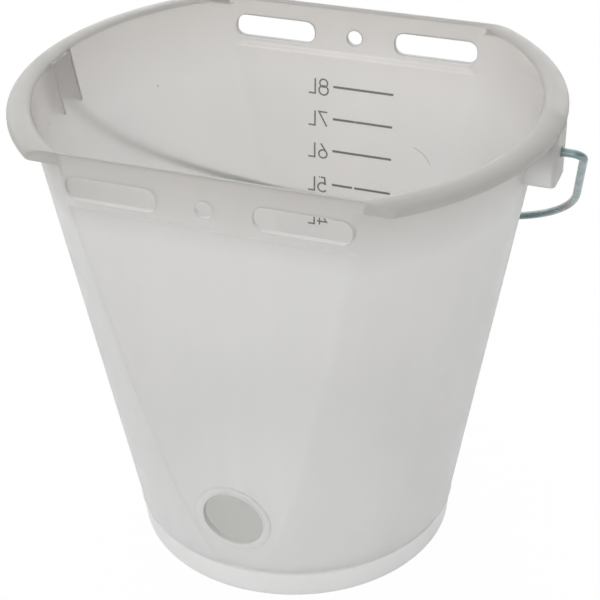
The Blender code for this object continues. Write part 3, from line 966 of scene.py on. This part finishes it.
def flecks(tree):
    """A few dark specks in the plastic, as a mask."""
    place = node(tree, "ShaderNodeTexCoord").outputs["Object"]
    cells = node(tree, "ShaderNodeTexVoronoi", {"Scale": 55.0})
    tree.links.new(place, cells.inputs["Vector"])
    near = to_range(tree, cells.outputs["Distance"], 1.0, 0.0, start=0.02, end=0.04)
    chosen = node(tree, "ShaderNodeSeparateColor")
    tree.links.new(cells.outputs["Color"], chosen.inputs["Color"])
    rare = to_range(tree, chosen.outputs["Red"], 0.0, 1.0, start=0.975, end=0.98)
    return product(tree, near, rare)


def distance(tree, place, spot, keep=(1.0, 1.0, 1.0)):
    """Distance of a place from a spot, over the axes that are kept."""
    kept = node(tree, "ShaderNodeVectorMath", {1: keep}, operation="MULTIPLY")
    tree.links.new(place, kept.inputs[0])
    away = node(tree, "ShaderNodeVectorMath", {1: spot}, operation="DISTANCE")
    tree.links.new(kept.outputs["Vector"], away.inputs[0])
    return away.outputs["Value"]


def axes(tree, place):
    """Node with the X, Y and Z of a place as outputs."""
    made = node(tree, "ShaderNodeSeparateXYZ")
    tree.links.new(place, made.inputs["Vector"])
    return made


def curved_scratch(tree, place):
    """The scratch as a mask: part of a circle, seen along Y, on the back half only."""
    across, up = SCRATCH_CENTRE
    away = distance(tree, place, (across, 0.0, up), keep=(1.0, 0.0, 1.0))
    off = calculate(tree, "SUBTRACT", away, number=SCRATCH_RADIUS)
    off = calculate(tree, "ABSOLUTE", off)
    line = to_range(tree, off, SCRATCH_STRENGTH, 0.0, SCRATCH_WIDTH / 4, SCRATCH_WIDTH)
    place = axes(tree, place)
    left = SCRATCH_LEFT_END
    low = SCRATCH_LOW_END
    half = SCRATCH_FADE / 2
    beyond_left = to_range(tree, place.outputs["X"], 0.0, 1.0, left, left + SCRATCH_FADE)
    above_low = to_range(tree, place.outputs["Z"], 0.0, 1.0, low - half, low + half)
    rear = to_range(tree, place.outputs["Y"], 0.0, 1.0, 0.0, half)
    return product(tree, line, beyond_left, above_low, rear)


def marks_of_use(tree, place, inside):
    """The curved scratch and the speck on the inside, as a mask."""
    scratch = curved_scratch(tree, place)
    away = distance(tree, place, SPECK)
    speck = to_range(tree, away, SPECK_STRENGTH, 0.0, SPECK_RADIUS, 1.6 * SPECK_RADIUS)
    return product(tree, calculate(tree, "MAXIMUM", scratch, speck), inside)


def clearness(tree, height, inside, cut):
    """How much light the plastic lets through: more inside than outside, less at cut edges."""
    low, high = CLEARNESS_OUTSIDE
    made = node(tree, "ShaderNodeMix", {"B": CLEARNESS_INSIDE})
    tree.links.new(inside, made.inputs["Factor"])
    haze = to_range(tree, height, low, high, start=0.0, end=CLEARNESS_RISES_UP_TO)
    tree.links.new(haze, made.inputs["A"])
    lost = to_range(tree, cut, 0.0, CLEARNESS_LOST_AT_CUTS, start=0.0, end=1.0)
    return calculate(tree, "SUBTRACT", made.outputs["Result"], lost)


def outer_colour(tree, height, cloud, cut):
    """Colour of the outside: streaky, greyer towards the top, lighter at the foot, grey at cut edges."""
    streaks = to_range(tree, noise(tree, 1.0, 2.0, stretch=(70.0, 70.0, 5.0)), 0.0, STREAK_SHARE)
    # Painted shade that greys the outside towards the top
    top_shade = to_range(tree, height, 0.0, 1.0, start=TOP_SHADE_FROM, end=HEIGHT)
    # Painted light from the white floor on the foot ring
    foot = to_range(tree, height, 1.0, 0.0, start=FOOT_HEIGHT, end=FOOT_LIP_LEVEL)
    colour = blend_colours(tree, cloud, *OUTER_COLOURS)
    colour = blend_colours(tree, streaks, colour, STREAK_COLOUR)
    colour = blend_colours(tree, top_shade, colour, TOP_SHADE_COLOUR)
    colour = blend_colours(tree, foot, colour, FOOT_LIT_COLOUR)
    # Painted shade greys the cut faces of the slots and holes
    return blend_colours(tree, cut, colour, CUT_SHADE_COLOUR)


def plastic_colour(tree, spot, height, inside, cut):
    """Colour of the plastic outside and inside, with its flecks and marks of use."""
    cloud = to_range(tree, noise(tree, 16.0), 0.0, 1.0)
    # Painted shade low inside, down by the floor
    deep = to_range(tree, height, DEEP_SHADE_SHARE, 0.0, start=FLOOR_LEVEL, end=DEEP_SHADE_BELOW)
    # Inside faces take the lighter inner colours, which paint in the light inside the bucket
    inner = blend_colours(tree, cloud, *INNER_LIT_COLOURS)
    inner = blend_colours(tree, deep, inner, DEEP_SHADE_COLOUR)
    colour = blend_colours(tree, inside, outer_colour(tree, height, cloud, cut), inner)
    colour = blend_colours(tree, flecks(tree), colour, FLECK_COLOUR)
    return blend_colours(tree, marks_of_use(tree, spot, inside), colour, WEAR_COLOUR)


def polypropylene():
    """Natural polypropylene, frosted outside and clearer inside, cloudy in patches, with light scratches."""
    made, tree, surface = new_material("natural_polypropylene")
    surface.inputs["IOR"].default_value = PLASTIC_IOR
    spot = node(tree, "ShaderNodeTexCoord").outputs["Object"]
    height = axes(tree, spot).outputs["Z"]
    inside, cut = [
        node(tree, "ShaderNodeAttribute", attribute_name=name).outputs["Fac"]
        for name in FACE_KINDS.values()
    ]
    tree.links.new(clearness(tree, height, inside, cut), surface.inputs["Transmission Weight"])
    tree.links.new(plastic_colour(tree, spot, height, inside, cut), surface.inputs["Base Color"])
    rough = to_range(tree, inside, ROUGHNESS_OUTSIDE, ROUGHNESS_INSIDE, start=0.0, end=1.0)
    uneven = to_range(tree, noise(tree, 70.0, 4.0), 0.0, ROUGHNESS_UNEVEN)
    tree.links.new(calculate(tree, "ADD", rough, uneven), surface.inputs["Roughness"])
    wavy = bump(tree, noise(tree, 26.0, 1.0), strength=0.25, depth=0.0010)
    grain = bump(tree, noise(tree, 1500.0, 2.0), strength=0.12, depth=0.00006, under=wavy)
    worn = bump(tree, scratches(tree), strength=0.10, depth=-0.00004, under=grain)
    tree.links.new(worn, surface.inputs["Normal"])
    depth = {"Color": (*PLASTIC_DEPTH_COLOUR, 1.0), "Density": PLASTIC_DENSITY}
    absorb = node(tree, "ShaderNodeVolumeAbsorption", depth)
    tree.links.new(absorb.outputs["Volume"], tree.nodes["Material Output"].inputs["Volume"])
    return made


def zinc():
    """Zinc-plated steel wire: blue-grey with lighter, darker and browner patches and a fine spangle."""
    made, tree, surface = new_material("zinc_plated_wire")
    surface.inputs["Metallic"].default_value = 1.0
    patches = to_range(tree, noise(tree, 90.0), 0.0, 1.0)
    colour = blend_colours(tree, patches, *ZINC_COLOURS)
    dull = to_range(tree, noise(tree, 45.0), 0.0, 1.0, start=0.55, end=0.75)
    colour = blend_colours(tree, dull, colour, ZINC_DULL_COLOUR)
    tree.links.new(colour, surface.inputs["Base Color"])
    rough = to_range(tree, noise(tree, 250.0), 0.24, 0.34)
    tree.links.new(rough, surface.inputs["Roughness"])
    spangle = bump(tree, noise(tree, 500.0, 2.0), strength=0.15, depth=0.00012)
    tree.links.new(spangle, surface.inputs["Normal"])
    return made


def ink():
    """Black printing ink, a little thin in places."""
    made, tree, surface = new_material("scale_ink")
    thin = to_range(tree, noise(tree, 700.0, 4.0), 0.0, 1.0, start=0.45, end=0.8)
    tree.links.new(blend_colours(tree, thin, *INK_COLOURS), surface.inputs["Base Color"])
    rough = to_range(tree, noise(tree, 1200.0, 2.0), 0.5, 0.75)
    tree.links.new(rough, surface.inputs["Roughness"])
    grain = bump(tree, noise(tree, 2500.0, 2.0), strength=0.2, depth=0.00002)
    tree.links.new(grain, surface.inputs["Normal"])
    return made


def seen_directly(tree):
    """How white the floor shows where the camera sees it directly, in a mirror and through the plastic."""
    path = node(tree, "ShaderNodeLightPath")
    shares = [
        calculate(tree, "MULTIPLY", path.outputs[name], number=share)
        for name, share in FLOOR_WHITENESS.items()
    ]
    most = shares[0]
    for share in shares[1:]:
        most = calculate(tree, "MAXIMUM", most, share)
    return most


def grey(level):
    """Grey colour of that level."""
    return level, level, level


def floor():
    """Plain white floor that keeps a faint shadow of the object."""
    half, level = FLOOR_HALF_WIDTH, FLOOR_Z
    mesh = bpy.data.meshes.new("floor")
    corners = [(-half, -half, level), (half, -half, level), (half, half, level), (-half, half, level)]
    mesh.from_pydata(corners, [], [(0, 1, 2, 3)])
    obj = placed("floor", mesh)
    made, tree, surface = new_material("floor_white")
    surface.inputs["Base Color"].default_value = (*grey(FLOOR_COLOUR), 1.0)
    surface.inputs["Roughness"].default_value = 0.9
    glow = node(tree, "ShaderNodeEmission", {"Color": (1.0, 1.0, 1.0, 1.0), "Strength": 1.0})
    mix = node(tree, "ShaderNodeMixShader")
    tree.links.new(seen_directly(tree), mix.inputs["Fac"])
    tree.links.new(surface.outputs["BSDF"], mix.inputs[1])
    tree.links.new(glow.outputs["Emission"], mix.inputs[2])
    tree.links.new(mix.outputs["Shader"], tree.nodes["Material Output"].inputs["Surface"])
    obj.data.materials.append(made)


def world():
    """Soft, even studio light from all round."""
    made = bpy.data.worlds.new("studio")
    made.use_nodes = True
    bpy.context.scene.world = made
    tree = made.node_tree
    direction = axes(tree, node(tree, "ShaderNodeTexCoord").outputs["Generated"])
    up = to_range(tree, direction.outputs["Z"], 0.0, 1.0, start=0.05, end=0.9)
    back = to_range(tree, direction.outputs["Y"], 0.0, 1.0, start=0.0, end=0.9)
    right = to_range(tree, direction.outputs["X"], 0.0, 1.0, start=0.1, end=1.0)
    colour = blend_colours(tree, up, grey(HORIZON_LIGHT), grey(ZENITH_LIGHT))
    colour = blend_colours(tree, back, colour, grey(BACK_LIGHT))
    colour = blend_colours(tree, right, colour, grey(RIGHT_LIGHT))
    tree.links.new(colour, tree.nodes["Background"].inputs["Color"])


def softbox(name, place, size, power):
    """Large square lamp that faces the bucket's middle."""
    lamp = bpy.data.lights.new(name, "AREA")
    lamp.shape = "SQUARE"
    lamp.size = size
    lamp.energy = power
    obj = placed(name, lamp)
    obj.location = place
    obj.visible_camera = False
    aim = CAMERA_TARGET - Vector(place)
    obj.rotation_euler = aim.to_track_quat("-Z", "Y").to_euler()


def camera():
    """Camera at the photograph's place."""
    across, deep = on_circle(math.cos(CAMERA_ELEVATION), CAMERA_AZIMUTH - math.pi / 2)
    back = Vector((across, deep, math.sin(CAMERA_ELEVATION)))
    level = Vector((0.0, 0.0, 1.0)).cross(back).normalized()
    upright = back.cross(level)
    right = level * math.cos(CAMERA_ROLL) + upright * math.sin(CAMERA_ROLL)
    up = upright * math.cos(CAMERA_ROLL) - level * math.sin(CAMERA_ROLL)
    data = bpy.data.cameras.new("camera")
    data.lens = CAMERA_LENS
    data.sensor_width = 36.0
    data.shift_x, data.shift_y = CAMERA_SHIFT
    data.clip_start = 0.01
    obj = placed("camera", data)
    turn = Matrix((right, up, back)).transposed().to_4x4()
    obj.matrix_world = Matrix.Translation(CAMERA_TARGET + back * CAMERA_DISTANCE) @ turn
    bpy.context.scene.camera = obj


def dress():
    """The pieces, their materials and what they ride on."""
    bucket = moulded_bucket()
    bucket.data.materials.append(polypropylene())
    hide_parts("bucket_body")
    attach(bucket, "bucket")
    scale = printed_scale()
    scale.data.materials.append(ink())
    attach(scale, "bucket")
    bail = bail_wire()
    bail.data.materials.append(zinc())
    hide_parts("wire_bail")
    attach(bail, "bail")


dress()
floor()
world()
softbox("front", place=(0.3, -1.8, 0.6), size=1.1, power=2.0)
softbox("left", place=(-1.5, -0.4, 1.1), size=1.0, power=1.5)
camera()
bpy.context.scene.view_settings.view_transform = "Standard"
